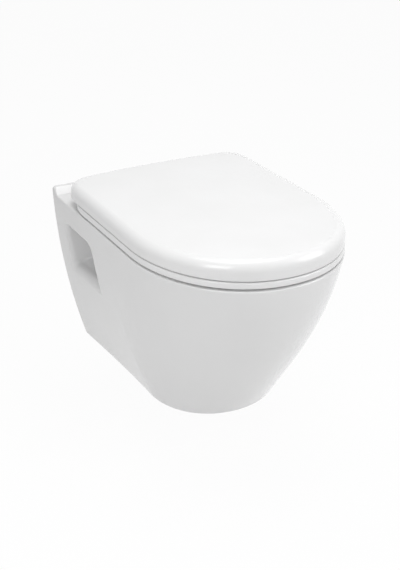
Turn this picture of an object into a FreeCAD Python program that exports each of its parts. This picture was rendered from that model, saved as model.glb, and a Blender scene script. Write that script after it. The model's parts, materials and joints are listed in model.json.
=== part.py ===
import FreeCAD, Part
import os
from math import cos, pi, sin, sqrt, tan
from FreeCAD import Vector

# Wall hung toilet. X runs across, -Y is the front, +Z is up, all in millimetres.
# The finished part has its origin on the wall face, midway between the two wall studs.
# The functions below measure height from the top of the rim; place() moves all to the origin.

# ---- where the pan meets the wall ----
studPitch = 180.0        # between the two wall studs
rimAboveStuds = 80.0     # top of the rim above the studs
flushAboveStuds = 35.0   # flush pipe inlet above the studs
outletBelowStuds = 100.0 # waste outlet below the studs
sleeveBoreRadius = 6.5   # passes an M12 stud
backOverrun = 2.0        # shapes run this far past the wall face before they are cut there
bossRadius = 22.0        # ceramic boss round each stud hole
hornRecess = 4.0         # the two pipe ends stay this far behind the wall face

# ---- outer form of the pan ----
rimWidth = 355.0
rimLength = 532.0
bodyDepth = 305.0
footWidth = 244.0        # flat underside, at the wall
footNeck = 11.0          # the underside is this much narrower each side at its shoulder
footLength = 377.0
flankDrawHigh = 3.6      # how far each side has drawn in a third of the way down
flankDrawLow = 20.0      # and two thirds of the way down
frontDrawLow = 84.0      # the same for the front, two thirds of the way down
rimShoulder = 325.0      # from the wall to where the rounded front begins, at the rim
flankShoulder = 229.0    # the same at mid height
footShoulder = 280.0     # the same at the underside
frontFullness = 0.575    # squareness of the rounded front
roundness = 0.552        # the same for a true quarter circle
halfTurn = 0.29          # where a rounding is at its diagonal, as a share of its radius
skinWall = 12.0          # measured level, so less across a sloping wall
footRounding = 8.0
rimRounding = 3.5

# ---- upstand along the wall ----
upstandHeight = 12.0
upstandTop = 8.0
upstandSlope = 12.0
upstandCorner = 5.0
coveRadius = 7.0

# ---- bowl and hollow rim ----
rimSide = 46.5           # width of the rim beside the bowl
rimNose = 45.0           # and in front of it
mouthHalfWidth = rimWidth / 2 - rimSide
mouthRear = 152.0
mouthFront = rimLength - rimNose
mouthWidest = 330.0
sumpWidest = 224.0
lipWall = 8.0
lipDepth = 42.0
channelWidth = 17.0
channelFloor = 48.0      # depth where the bowl starts to close in
bowlWall = 9.0
sumpDepth = 285.0
sumpHalfWidth = 35.0
sumpRear = 192.0
sumpFront = 256.0
mouthRounding = 4.0
bowlHalfHigh = mouthHalfWidth + 3   # the bowl's outline a third of the way down
bowlFrontHigh = mouthFront - 5
bowlWidestHigh = mouthWidest - 20
bowlHalfLow = 84.0       # and two thirds of the way down
bowlRearLow = 192.0
bowlFrontLow = 330.0
bowlWidestLow = 235.0

# ---- trapway, flush inlet and waste outlet ----
trapRadius = 28.0
trapBend = 45.0
trapEntry = Vector(0, -215, -253)
trapHeel = Vector(0, -150, -253)
trapCrest = Vector(0, -100, -136)
trapFall = Vector(0, -40, -172)
outletRadius = 51.0
outletWall = 9.0
outletLength = 68.0
outletFree = 40.0        # stretch of the spigot that the connector slides over
outletRoom = 14.0        # and the room round it for the connector's wall
outletShoulder = 2.0     # the spigot is this much smaller behind it
inletBoreRadius = 27.5
inletBoreLength = 50.0
inletWayRadius = 21.0
inletWayOverrun = 3.0    # the way runs this far into the rim's channel
inletWall = 9.0
trapWall = 12.0
trapOverrun = 20.0       # outside of the trap past each of its corners

# ---- side pockets that give access to the fixings ----
pocketInner = 62.0       # blind end of the pocket, from the middle
pocketKnee = 116.0       # up to here the ceiling is level
pocketRear = 58.0
pocketCeiling = 20.0
pocketInnerFront = 114.0
pocketInnerFloor = 112.0
pocketKneeFront = 136.0
pocketKneeFloor = 124.0
mouthTop = 40.0
mouthFloor = 138.0
pocketMouthRear = 54.0
pocketMouthFrontTop = 158.0
pocketMouthFrontFloor = 174.0
pocketWall = 9.0
pocketRounding = 5.0
pocketOverrun = 4.0
kneeRake = 8.0           # the front wall leans this far forward towards the floor
innerRake = 4.0          # the same at the blind end

# ---- seat and lid ----
seatInset = 2.0          # the seat stays this far inside the rim outline
seatGap = 2.3            # air under the ring
ringThickness = 11.5
lidGap = 1.3             # air between ring and lid
ringRear = 75.0
ringCorner = 16.0
ringSide = 63.5          # width of the ring beside its hole
ringNose = 64.0
ringHoleHalfWidth = rimWidth / 2 - seatInset - ringSide
ringHoleRear = 196.0
ringHoleFront = rimLength - seatInset - ringNose
ringHoleWidest = 335.0
ringHollow = 5.0         # depth of the recess under the ring
ringLand = 12.0          # width of its two edges
ringEdge = 2.5
ringHoleEdge = 4.0
lidRear = 51.0
lidCorner = 22.0
lidHeight = 46.5         # crown of the lid above the rim
lidCrown = 3.0           # the lid is this much lower at its sides
lidMiddle = 290.0        # middle of the crown, from the wall
lidFlat = 0.2            # share of the lid that is level there
lidEdge = 14.0
lidBevel = 9.0           # the same edge inside
lidWall = 4.5            # of the lid's upright edge
lidOverlap = 0.4         # the lid reaches this much past the ring
lidBufferHeight = 3.0

# ---- hinges ----
hingePitch = 155.0
hingeHoleBack = 76.0     # deck hole, from the wall
hingeHoleRadius = 7.5
axisBack = 62.0
axisHeight = 34.0
barrelRadius = 6.0
barrelWidth = 15.0
lugWidth = 9.6
sideGap = 0.4            # between the hinge barrel and the lugs beside it
pinRadius = 3.0
pinFit = 0.05
pinPress = 0.02
bushWall = 1.4
bushRadius = pinRadius + pinFit + bushWall
neckLength = 14.5        # the hinge pillar stands this far in front of the axis
neckRelief = 2.5
pillarDepth = 10.5
pillarSlope = 6.3        # its front slopes back by this much on the way to the barrel
ringNotch = 16.0         # depth of the notches round the hinge feet
notchGap = 1.5           # air between a notch and the hinge foot in it
armRoot = 8.0            # the seat's hinge arms reach this far into the ring
lugRoot = 26.0           # the lid's lugs run this far in front of the axis
lugTaper = 4.0
flangeRadius = 13.0
flangeHeight = 3.0
flangeEdge = 1.0
gasketHeight = 1.0
hingeRelief = 0.6        # air round the barrels and lugs inside the lid
restGap = 0.3            # air under the rubber buffers when the seat is down

# ---- fasteners ----
hingeStudRadius = 4.0
studCover = 0.4          # skin of the hinge foot over the end of the stud
studGap = 0.1
hingeStudEnd = 44.0
bushFlange = 2.0
bushClearance = 0.3
threadGap = 0.1
wingHub = 8.0
wingHeight = 9.0
wingSpan = 13.5
wingThickness = 3.0
wingStep = 2.0           # the wings begin this far along the hub and run past its end
sleeveWall = 2.2
sleeveFlange = 2.5
washerRadius = 14.0
washerHeight = 2.5
nutFlats = 19.0
nutHeight = 10.0
nutBoreRadius = 6.3
capRadius = 13.2
capWall = 1.2
capBevel = 4.4
capLength = 27.0
bufferRadius = 6.0
lidBossRadius = 5.0
bufferInset = 29.5       # rear seat buffers, inside the rim's side
bufferBack = 230.0
noseBufferSide = 75.0
noseBufferInset = 49.0   # front seat buffers, behind the rim's front
lidBufferInset = 34.5
lidBufferBack = 300.0
lidNoseSide = 85.0
lidNoseInset = 54.0
bushFlangeRadius = 12.0


def solid(shape):
    """The one solid that a boolean leaves, whatever compound it comes in."""
    return max(shape.Solids, key=lambda s: s.Volume)


def blend(values, *shares):
    """A cubic curve from the first to the last of four values, drawn towards the others.

    Three shares of the way give the control value that belongs to them, so that a stretch of the
    curve, or one that runs on past its end, is again a cubic. One share gives a point on it."""
    row = list(values)
    for share in (shares * 3)[:3]:
        row = [a + (b - a) * share for a, b in zip(row, row[1:])]
    return row[0]


def curve(*points):
    """One cubic edge from four points."""
    edge = Part.BezierCurve()
    edge.setPoles(list(points))
    return edge.toShape()


def line(a, b):
    return Part.LineSegment(a, b).toShape()


def quarter(start, corner, end, fullness):
    """Poles of a quarter oval from start to end, tangent to the two sides that meet in corner."""
    return [start, start + (corner - start) * fullness, end + (corner - end) * fullness, end]


def straight(start, end):
    """Poles of a straight edge."""
    return [start, start + (end - start) / 3, start + (end - start) * 2 / 3, end]


def wire(ring):
    """A closed wire from a ring, which is a list of edges of four poles each."""
    return Part.Wire([curve(*edge) for edge in ring])


def band(rings):
    """The faces between two rings, or a smooth band led by four."""
    faces = []
    for edges in zip(*rings):
        surface = Part.BezierSurface()
        surface.increase(3, len(rings) - 1)
        for row, edge in enumerate(edges):
            for column, pole in enumerate(edge):
                surface.setPole(column + 1, row + 1, pole)
        faces.append(surface.toShape())
    return faces


def closed(bands):
    """A solid from bands of rings that follow each other, with flat faces on both ends."""
    faces = [face for rings in bands for face in band(rings)]
    faces += [Part.Face(wire(bands[0][0])), Part.Face(wire(bands[-1][-1]))]
    shell = Part.makeShell(faces)
    shell.sewShape()
    body = Part.makeSolid(shell.Shells[0] if shell.Shells else shell)
    if body.Volume < 0:
        body.reverse()
    return body


def rod(radius, start, direction, length):
    return Part.makeCylinder(radius, length, start, direction)


def tube(outer, inner, start, direction, length):
    return rod(outer, start, direction, length).cut(rod(inner, start, direction, length))


def box(low, high):
    return Part.makeBox(high.x - low.x, high.y - low.y, high.z - low.z, low)


def mirrored(shape):
    return shape.mirror(Vector(0, 0, 0), Vector(1, 0, 0))


def profile(points, x0, x1):
    """A prism along X from a closed outline of (y, z) points."""
    corners = [Vector(x0, y, z) for y, z in points]
    face = Part.Face(Part.makePolygon(corners + corners[:1]))
    return face.extrude(Vector(x1 - x0, 0, 0))


def oval(z, halfWidth, rear, widest, front, fullness=frontFullness):
    """A ring in plan, an oval that is longer in front of its widest line than behind it."""
    left, right = Vector(-halfWidth, -widest, z), Vector(halfWidth, -widest, z)
    tip, heel = Vector(0, -front, z), Vector(0, -rear, z)
    corner = lambda x, y: Vector(x, -y, z)
    return [quarter(left, corner(-halfWidth, front), tip, fullness),
            quarter(tip, corner(halfWidth, front), right, fullness),
            quarter(right, corner(halfWidth, rear), heel, fullness),
            quarter(heel, corner(-halfWidth, rear), left, fullness)]


def strips(rings):
    """One flat band between each ring and the next."""
    return [[a, b] for a, b in zip(rings, rings[1:])]


def rounding(outline, level, radius, up=1):
    """Rings of a rounded edge, from the wall below a level (above it for up=-1) to the level.

    outline(z, inset) is the wall's ring at a height, drawn in by inset."""
    return [outline(level - up * radius * drop, radius * inset)
            for drop, inset in ((1, 0), (halfTurn, halfTurn), (0, 1))]


# ---------------------------------------------------------------- pan

def bodyHalf(*shares):
    rimHalf = rimWidth / 2
    return blend((rimHalf, rimHalf - flankDrawHigh, rimHalf - flankDrawLow, footWidth / 2), *shares)


def bodyRing(shares, inset=0.0, back=0.0, z=None):
    """The body's outline at a share of its depth: flat at the wall, rounded at the front."""
    half = bodyHalf(*shares) - inset
    reach = blend((rimLength, rimLength, rimLength - frontDrawLow, footLength), *shares) - inset
    shoulder = blend((rimShoulder, flankShoulder, flankShoulder, footShoulder), *shares)
    neck = half - blend((0, 0, footNeck / 3, footNeck), *shares)
    if z is None:
        z = -blend((0, bodyDepth / 3, bodyDepth * 2 / 3, bodyDepth), *shares)
    sides = []
    for side in (-1, 1):
        wall, tip = Vector(side * half, back, z), Vector(0, -reach, z)
        end, corner = Vector(side * neck, -shoulder, z), Vector(side * neck, -reach, z)
        middle = Vector(side * (half + neck) / 2, back - (shoulder + back) / 3, z)
        low = Vector(side * neck, back - (shoulder + back) * 2 / 3, z)
        sides.append([[wall, middle, low, end], quarter(end, corner, tip, frontFullness)])
    return [straight(Vector(half, back, z), Vector(-half, back, z))] + sides[0] + [
        edge[::-1] for edge in sides[1][::-1]]


def flank(top, bottom, inset=0.0, back=0.0):
    """The band of the body between two shares of its depth."""
    steps = ((top, top, top), (top, top, bottom), (top, bottom, bottom), (bottom, bottom, bottom))
    return [bodyRing(shares, inset, back) for shares in steps]


def bodyWall(z, inset):
    return bodyRing((-z / bodyDepth,), inset, backOverrun, z)


def bodySolid():
    """The outer form with its foot and rim edges rounded, cut off flat at the wall."""
    top, low = rimRounding / bodyDepth, 1 - footRounding / bodyDepth
    rim = rounding(bodyWall, 0, rimRounding)
    foot = rounding(bodyWall, -bodyDepth, footRounding, -1)
    body = closed(strips(rim[::-1]) + [flank(top, low, 0, backOverrun)] + strips(foot))
    return body.cut(box(Vector(-rimWidth, 0, -bodyDepth - 1), Vector(rimWidth, 2 * backOverrun, 1)))


def upstand():
    """The low ridge that the deck rises to at the wall, with rounded top corners."""
    half, foot = rimWidth / 2, -rimRounding
    rise = profile([(0, foot), (0, upstandHeight), (-upstandTop, upstandHeight),
                    (-upstandTop - upstandSlope, 0), (-upstandTop - upstandSlope, foot)], -half, half)
    corners = [e for e in rise.Edges if nearZ(e, upstandHeight) and abs(e.CenterOfMass.x) > half - 1]
    return rise.makeFillet(upstandCorner, corners)


def nearZ(edge, z, spread=0.2):
    bounds = edge.BoundBox
    return abs(bounds.ZMin - z) < spread and abs(bounds.ZMax - z) < spread


def outerBody():
    """Body and upstand in one, with a cove where the deck meets the upstand."""
    body = solid(bodySolid().fuse(upstand()).removeSplitter())
    slopeEnd = -upstandTop - upstandSlope
    cove = [e for e in body.Edges if nearZ(e, 0) and abs(e.BoundBox.YMin - slopeEnd) < 0.5
            and e.BoundBox.XLength > rimWidth / 2]
    return solid(body.makeFillet(coveRadius, cove)) if cove else body


def bowlRing(shares, grow=0.0):
    """The bowl at a share of its way from the channel (0) down to the sump (1)."""
    out = lipWall + channelWidth
    half = blend((mouthHalfWidth + out, bowlHalfHigh, bowlHalfLow, sumpHalfWidth), *shares) + grow
    rear = blend((mouthRear - out, mouthRear, bowlRearLow, sumpRear), *shares) - grow
    front = blend((mouthFront + out, bowlFrontHigh, bowlFrontLow, sumpFront), *shares) + grow
    widest = blend((mouthWidest, bowlWidestHigh, bowlWidestLow, sumpWidest), *shares)
    depth, bottom = channelFloor, sumpDepth + grow
    drop = (bottom - depth) / 3
    return oval(-blend((depth, depth + drop, bottom - drop, bottom), *shares), half, rear, widest, front)


def bowlSolid(grow=0.0):
    """The space inside the bowl from under the deck to the sump, or the ceramic round it."""
    top = bowlRing((0,), grow)
    up = Vector(0, 0, channelFloor - skinWall + grow)
    roof = [[pole + up for pole in edge] for edge in top]
    steps = ((0, 0, 0), (0, 0, 1), (0, 1, 1), (1, 1, 1))
    return closed([[roof, top], [bowlRing(shares, grow) for shares in steps]])


def mouthRing(z, grow=0.0):
    return oval(z, mouthHalfWidth + grow, mouthRear - grow, mouthWidest, mouthFront + grow)


def rimLip():
    """The inner wall of the hollow rim, which hangs into the bowl."""
    return closed([[mouthRing(0, lipWall), mouthRing(-lipDepth, lipWall)]])


def mouth():
    """The opening in the rim, with its upper edge rounded."""
    edge = rounding(mouthRing, 0, mouthRounding)
    return closed(strips([mouthRing(-channelFloor)] + edge + [mouthRing(1, mouthRounding)]))


def bentPath(points, radius):
    """A wire through the points with an arc of the radius at each inner one."""
    edges, last = [], points[0]
    for before, here, after in zip(points, points[1:], points[2:]):
        a, b = (before - here).normalize(), (after - here).normalize()
        reach = radius / tan(a.getAngle(b) / 2)
        first, second = here + a * reach, here + b * reach
        inward = (a + b).normalize()
        middle = here + inward * (sqrt(reach ** 2 + radius ** 2) - radius)
        edges += [line(last, first), Part.Arc(first, middle, second).toShape()]
        last = second
    return Part.Wire(edges + [line(last, points[-1])])


def trapway():
    points = [trapEntry, trapHeel, trapCrest, trapFall]
    ring = Part.Wire(Part.makeCircle(trapRadius, trapEntry, trapHeel - trapEntry))
    return bentPath(points, trapBend).makePipeShell([ring], True, False)


def trapCast():
    """The ceramic round the trapway: a straight rod for each of its legs."""
    points = [trapEntry, trapHeel, trapCrest, trapFall]
    rods = []
    for a, b in zip(points, points[1:]):
        length = (b - a).Length + (trapOverrun if b != trapFall else 0)
        rods.append(rod(trapRadius + trapWall, a, b - a, length))
    return rods


def pocketCorners(x):
    """The mouth end of a pocket's outline at a distance from the middle: (y, z, side, up)."""
    share = (x - pocketKnee) / (rimWidth / 2 + pocketOverrun - pocketKnee)
    knee = ((pocketRear, pocketCeiling), (pocketKneeFront, pocketCeiling),
            (pocketKneeFront + kneeRake, pocketKneeFloor), (pocketRear, pocketKneeFloor))
    end = ((pocketRear, mouthTop), (pocketMouthFrontTop, mouthTop),
           (pocketMouthFrontFloor, mouthFloor), (pocketMouthRear, mouthFloor))
    ways = ((1, 1), (-1, 1), (-1, -1), (1, -1))
    return [(-a[0] - (b[0] - a[0]) * share, -a[1] - (b[1] - a[1]) * share, back, up)
            for a, b, (back, up) in zip(knee, end, ways)]


def pocket(grow=0.0):
    """The right-hand pocket: three outlines across X, joined by flat walls."""
    def outline(x, corners):
        points = [Vector(x, y + back * grow, z + up * grow) for y, z, back, up in corners]
        return Part.makePolygon(points + points[:1])
    inner = [(-pocketRear, -pocketCeiling, 1, 1), (-pocketInnerFront, -pocketCeiling, -1, 1),
             (-pocketInnerFront - innerRake, -pocketInnerFloor, -1, -1),
             (-pocketRear, -pocketInnerFloor, 1, -1)]
    past = rimWidth / 2 + pocketOverrun
    sections = [outline(pocketInner - grow, inner), outline(pocketKnee, pocketCorners(pocketKnee)),
                outline(past, pocketCorners(past))]
    return Part.makeLoft(sections, True, True)


def pocketBevel():
    """Opens the pocket's mouth out towards the skin, which leans in as it goes down."""
    def outline(step, grow):
        points = []
        for index in range(4):
            z = pocketCorners(pocketKnee)[index][1]
            for _ in range(3):
                skin = bodyHalf(-z / bodyDepth)
                y, z, back, up = pocketCorners(skin + step)[index]
            points.append(Vector(skin + step, y + back * grow, z + up * grow))
        return Part.makePolygon(points + points[:1])
    return Part.makeLoft([outline(-pocketRounding, 0), outline(pocketRounding, 2 * pocketRounding)],
                         True, True)


def casting():
    """The one-piece ceramic pan, open at the back like the real casting."""
    back = Vector(0, -1, 0)
    flush = Vector(0, -hornRecess, flushAboveStuds - rimAboveStuds)
    waste = Vector(0, -hornRecess, -outletBelowStuds - rimAboveStuds)
    bowl, bowlCast = bowlSolid(), bowlSolid(bowlWall)
    rightPocket, rightPocketCast = pocket(), pocket(pocketWall)
    boss = rod(bossRadius, Vector(studPitch / 2, 0, -rimAboveStuds), back, pocketRear)
    keep = trapCast() + [bowlCast, rightPocketCast, mirrored(rightPocketCast), boss, mirrored(boss),
                         rod(outletRadius, waste, back, outletFree),
                         rod(outletRadius - outletShoulder, waste, back, outletLength + outletWall),
                         rod(inletBoreRadius + inletWall, flush, back, mouthRear - hornRecess)]
    depth = skinWall / bodyDepth
    hollow = closed([flank(depth, 1 - depth, skinWall, backOverrun)])
    for shape in keep:
        hollow = hollow.cut(shape)
    pan = outerBody().cut(hollow)
    inside = bowl.cut(rimLip())
    bevel = pocketBevel()
    room = tube(outletRadius + outletRoom, outletRadius, waste, back, outletFree)
    for shape in (inside, mouth(), room, trapway(), rightPocket, mirrored(rightPocket), bevel,
                  mirrored(bevel)):
        pan = pan.cut(shape)
    pan = pan.cut(rod(outletRadius - outletWall, waste, back, outletLength))
    pan = pan.cut(rod(inletBoreRadius, flush, back, inletBoreLength))
    pan = pan.cut(rod(inletWayRadius, flush, back, mouthRear - lipWall - hornRecess - inletWayOverrun))
    for side in (-1, 1):
        stud = Vector(side * studPitch / 2, backOverrun, -rimAboveStuds)
        pan = pan.cut(rod(sleeveBoreRadius + sleeveWall, stud, back, pocketRear + 2 * backOverrun))
        hole = Vector(side * hingePitch / 2, -hingeHoleBack, 1)
        pan = pan.cut(rod(hingeHoleRadius, hole, Vector(0, 0, -1), pocketCeiling + 2))
    return solid(pan)


# ---------------------------------------------------------------- seat

def seatOutline(z, rear, radius, inset=0.0):
    """The D shape of ring and lid: straight rear with round corners, rounded front."""
    half = rimWidth / 2 - seatInset - inset
    front, back, r = rimLength - seatInset - inset, rear + inset, radius - inset
    sides = []
    for side in (-1, 1):
        heel, turn = Vector(side * (half - r), -back, z), Vector(side * half, -back - r, z)
        end, tip = Vector(side * half, -rimShoulder, z), Vector(0, -front, z)
        sides.append([quarter(heel, Vector(side * half, -back, z), turn, roundness),
                      straight(turn, end),
                      quarter(end, Vector(side * half, -front, z), tip, frontFullness)])
    rearLine = straight(Vector(half - r, -back, z), Vector(r - half, -back, z))
    return [rearLine] + sides[0] + [edge[::-1] for edge in sides[1][::-1]]


def ringHole(z, grow=0.0):
    return oval(z, ringHoleHalfWidth + grow, ringHoleRear - grow, ringHoleWidest, ringHoleFront + grow)


def upright(ring, height):
    """A prism straight up from a flat ring."""
    return Part.Face(wire(ring)).extrude(Vector(0, 0, height))


def bored(lug, x0):
    """A lug with its round eye and the bore for its bush added."""
    start, across = Vector(x0, -axisBack, axisHeight), Vector(1, 0, 0)
    return lug.fuse(rod(barrelRadius, start, across, lugWidth)).cut(rod(bushRadius, start, across, lugWidth))


def hingeArm():
    """The right-hand arm of the seat, from the ring up to its lug on the hinge axis."""
    x0 = hingePitch / 2 - barrelWidth / 2 - sideGap - lugWidth
    under = gasketHeight + flangeHeight + sideGap * 2
    top = seatGap + ringThickness - 1
    root = ringRear + ringNotch
    lean = barrelRadius * sqrt(0.5)
    arm = profile([(-axisBack - lean, axisHeight + lean), (-root - armRoot, top), (-root - armRoot, under),
                   (-root + armRoot, under), (-axisBack + lean, axisHeight - lean)], x0, x0 + lugWidth)
    return bored(arm, x0)


def seatRing():
    bottom, top = seatGap, seatGap + ringThickness
    outline = lambda z, inset: seatOutline(z, ringRear, ringCorner, inset)
    ring = closed(strips([outline(bottom, 0)] + rounding(outline, top, ringEdge)))
    edge = rounding(ringHole, top, ringHoleEdge)
    hole = closed(strips([ringHole(bottom - 1)] + edge + [ringHole(top + 1, ringHoleEdge)]))
    land = outline(bottom - 1, ringLand)
    hollow = upright(land, ringHollow + 1).cut(upright(ringHole(bottom - 2, ringLand), ringThickness))
    front = box(Vector(-rimWidth, -rimLength, -1), Vector(rimWidth, -ringHoleRear - ringLand, top))
    ring = ring.cut(hole).cut(hollow.common(front))
    middle, reach = hingePitch / 2, flangeRadius + notchGap
    notch = box(Vector(middle - reach, -ringRear - ringNotch, 0), Vector(middle + reach, 0, top + 1))
    arm = hingeArm()
    for cut, add in ((notch, arm), (mirrored(notch), mirrored(arm))):
        ring = ring.cut(cut).fuse(add)
    return solid(ring)


def lidOutline(z, inset):
    return seatOutline(z, lidRear, lidCorner, inset - lidOverlap)


def crowned(ring):
    """The ring lifted onto the crown of the lid, which falls towards both sides."""
    lifted = []
    for edge in ring:
        ends = (edge[0].x, edge[0].x, edge[3].x, edge[3].x)
        drops = [end * (2 * pole.x - end) / (rimWidth / 2) ** 2 for pole, end in zip(edge, ends)]
        lifted.append([pole + Vector(0, 0, lidCrown * (1 - drop)) for pole, drop in zip(edge, drops)])
    return lifted


def crown(ring, top):
    """A smooth band from a crowned ring to a small level one in the middle."""
    def level(share):
        return [[Vector(pole.x * share, (pole.y + lidMiddle) * share - lidMiddle, top) for pole in edge]
                for edge in ring]
    return [ring, level((1 + lidFlat) / 2), level(lidFlat)]


def lidOutside(bottom):
    """Upright walls, a smooth rounded edge and the crowned top."""
    rim = lidHeight - lidCrown
    start, rise = rim - lidEdge, lidEdge * roundness
    low, high = lidOutline(start, 0), crowned(lidOutline(rim, lidEdge))
    lower = [[pole + (top - pole) * roundness for pole, top in zip(*edges)]
             for edges in zip(low, crowned(lidOutline(rim, 0)))]
    turn = [low, lower, crowned(lidOutline(rim, lidEdge - rise)), high]
    return closed([[lidOutline(bottom, 0), low], turn, crown(high, lidHeight)])


def lidInside(bottom, ceiling):
    """The space under the lid, with a bevel in place of the rounded edge."""
    rings = [(bottom, 0), (ceiling - lidBevel, 0), (ceiling - lidBevel / 3, lidBevel / 3),
             (ceiling, lidBevel)]
    return closed(strips([lidOutline(z, lidWall + inset) for z, inset in rings]))


def lid():
    bottom = seatGap + ringThickness + lidGap
    roof = axisHeight + barrelRadius + hingeRelief
    shell = lidOutside(bottom).cut(lidInside(bottom - 1, roof))
    x0 = hingePitch / 2 - barrelWidth / 2 - sideGap - lugWidth - 1
    x1 = hingePitch / 2 + barrelWidth / 2 + sideGap
    window = box(Vector(x0, -axisBack - barrelRadius - 2, bottom - 2), Vector(x1 + lugWidth + 2, 0, roof))
    inWall = roof + 1
    lug = profile([(-axisBack - barrelRadius, axisHeight), (-axisBack + barrelRadius, axisHeight),
                   (-axisBack + barrelRadius, roof - lugTaper / 2), (-axisBack + lugTaper / 2, inWall),
                   (-axisBack - lugRoot, inWall), (-axisBack - lugRoot, roof - lugTaper)],
                  x1, x1 + lugWidth)
    lug = bored(lug, x1)
    for cut, add in ((window, lug), (mirrored(window), mirrored(lug))):
        shell = shell.cut(cut).fuse(add)
    for x, y in lidBufferSpots():
        foot = Vector(x, -y, bottom + lidBufferHeight)
        shell = shell.fuse(rod(lidBossRadius, foot, Vector(0, 0, 1), lidHeight - lidWall - foot.z))
    return solid(shell)


def mirroredSpots(*spots):
    """Each (x, distance from the wall) on the left and on the right."""
    return [(side * x, y) for x, y in spots for side in (-1, 1)]


def seatBufferSpots():
    return mirroredSpots((rimWidth / 2 - bufferInset, bufferBack),
                         (noseBufferSide, rimLength - noseBufferInset))


def lidBufferSpots():
    return mirroredSpots((rimWidth / 2 - lidBufferInset, lidBufferBack),
                         (lidNoseSide, rimLength - lidNoseInset))


def pads(spots, radius, bottom, height):
    """Round rubber buffers at (x, distance from the wall)."""
    return Part.makeCompound([rod(radius, Vector(x, -y, bottom), Vector(0, 0, 1), height) for x, y in spots])


# ---------------------------------------------------------------- hinges

def hingePost():
    """The right-hand hinge: round foot, pillar in front of the axis and the barrel it carries."""
    x0, z0 = hingePitch / 2 - barrelWidth / 2, gasketHeight
    top = z0 + flangeHeight
    axis = Vector(x0, -axisBack, axisHeight)
    foot = rod(flangeRadius, Vector(hingePitch / 2, -hingeHoleBack, z0), Vector(0, 0, 1), flangeHeight)
    upper = [e for e in foot.Edges if nearZ(e, top)]
    foot = foot.makeChamfer(flangeEdge, upper)
    rear, front = -axisBack - neckLength, -axisBack - neckLength - pillarDepth
    neck = axisHeight - barrelRadius + neckRelief
    crest = axisHeight + barrelRadius
    pillar = profile([(front, top - 1), (front, axisHeight), (front + pillarSlope, crest - sideGap),
                      (-axisBack, crest), (-axisBack, neck), (rear, neck),
                      (rear, top - 1)], x0, x0 + barrelWidth)
    barrel = rod(barrelRadius, axis, Vector(1, 0, 0), barrelWidth)
    post = foot.fuse(pillar).fuse(barrel)
    post = post.cut(rod(pinRadius + pinPress, axis - Vector(1, 0, 0), Vector(1, 0, 0), barrelWidth + 2))
    seat = Vector(hingePitch / 2, -hingeHoleBack, z0 - 1)
    depth = 1 + flangeHeight - studCover
    return solid(post.cut(rod(hingeStudRadius + pinPress, seat, Vector(0, 0, 1), depth)))


def hingePin():
    length = barrelWidth + 2 * (sideGap + lugWidth)
    return rod(pinRadius, Vector((hingePitch - length) / 2, -axisBack, axisHeight), Vector(1, 0, 0), length)


def lugBush(x0):
    return tube(bushRadius, pinRadius + pinFit, Vector(x0, -axisBack, axisHeight), Vector(1, 0, 0), lugWidth)


def hingeGasket():
    return tube(flangeRadius, hingeStudRadius + bushClearance, Vector(hingePitch / 2, -hingeHoleBack, 0),
                Vector(0, 0, 1), gasketHeight)


def hingeStud():
    top = Vector(hingePitch / 2, -hingeHoleBack, gasketHeight + flangeHeight - studCover - studGap)
    return rod(hingeStudRadius, top, Vector(0, 0, -1), top.z + hingeStudEnd)


def deckBush():
    """A collar that centres the hinge stud in its hole and spreads the nut's load."""
    down = Vector(0, 0, -1)
    under = Vector(hingePitch / 2, -hingeHoleBack, -pocketCeiling)
    collar = rod(hingeHoleRadius - bushClearance, under, -down, pocketCeiling - 1)
    collar = collar.fuse(rod(bushFlangeRadius, under, down, bushFlange))
    return solid(collar.cut(rod(hingeStudRadius + threadGap, under + down * 5, -down, pocketCeiling + 10)))


def wingNut():
    down = Vector(0, 0, -1)
    start = Vector(hingePitch / 2, -hingeHoleBack, -pocketCeiling - bushFlange)
    hub = rod(wingHub, start, down, wingHeight)
    low = Vector(start.x - wingSpan, start.y - wingThickness / 2, start.z - wingHeight - wingStep)
    wings = box(low, Vector(start.x + wingSpan, start.y + wingThickness / 2, start.z - wingStep))
    bore = rod(hingeStudRadius + threadGap, start - down, down, wingHeight + 10)
    return solid(hub.fuse(wings).cut(bore))


# ---------------------------------------------------------------- wall fixings

def wallSleeve():
    out = Vector(0, -1, 0)
    start = Vector(studPitch / 2, 0, -rimAboveStuds)
    sleeve = rod(sleeveBoreRadius + sleeveWall, start, out, pocketRear)
    flange = rod(washerRadius, start + out * pocketRear, out, sleeveFlange)
    return solid(sleeve.fuse(flange).cut(rod(sleeveBoreRadius, start - out, out, pocketRear + 10)))


def fixingSeat(steps):
    """The point on the stud axis past the sleeve flange and so many millimetres more."""
    return Vector(studPitch / 2, -pocketRear - sleeveFlange - steps, -rimAboveStuds)


def wallWasher():
    return tube(washerRadius, sleeveBoreRadius, fixingSeat(0), Vector(0, -1, 0), washerHeight)


def wallNut():
    start, out = fixingSeat(washerHeight), Vector(0, -1, 0)
    corner = nutFlats / 2 / cos(pi / 6)
    points = [start + Vector(corner * sin(pi / 3 * i), 0, corner * cos(pi / 3 * i)) for i in range(6)]
    nut = Part.Face(Part.makePolygon(points + points[:1])).extrude(out * nutHeight)
    return solid(nut.cut(rod(nutBoreRadius, start - out, out, nutHeight + 2)))


def nutCap():
    start, out = fixingSeat(washerHeight), Vector(0, -1, 0)
    cap = rod(capRadius, start, out, capLength)
    far = [e for e in cap.Edges if abs(e.CenterOfMass.y - start.y) > capLength - 1]
    cap = cap.makeChamfer(capBevel, far)
    return solid(cap.cut(rod(capRadius - capWall, start, out, capLength - capWall * 2)))


# ---------------------------------------------------------------- run

def place(name, shape):
    """Move a finished piece from rim height to the origin and write it."""
    shape.translate(Vector(0, 0, rimAboveStuds))
    shape.exportStep(os.path.join("parts", name + ".step"))
    print(name, len(shape.Solids), round(shape.Volume / 1000, 2), "cm3", shape.isValid())


def placePair(name, shape):
    """Write a right-hand piece and its mirror image on the left."""
    place(name + "_left", mirrored(shape))
    place(name + "_right", shape)


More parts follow.
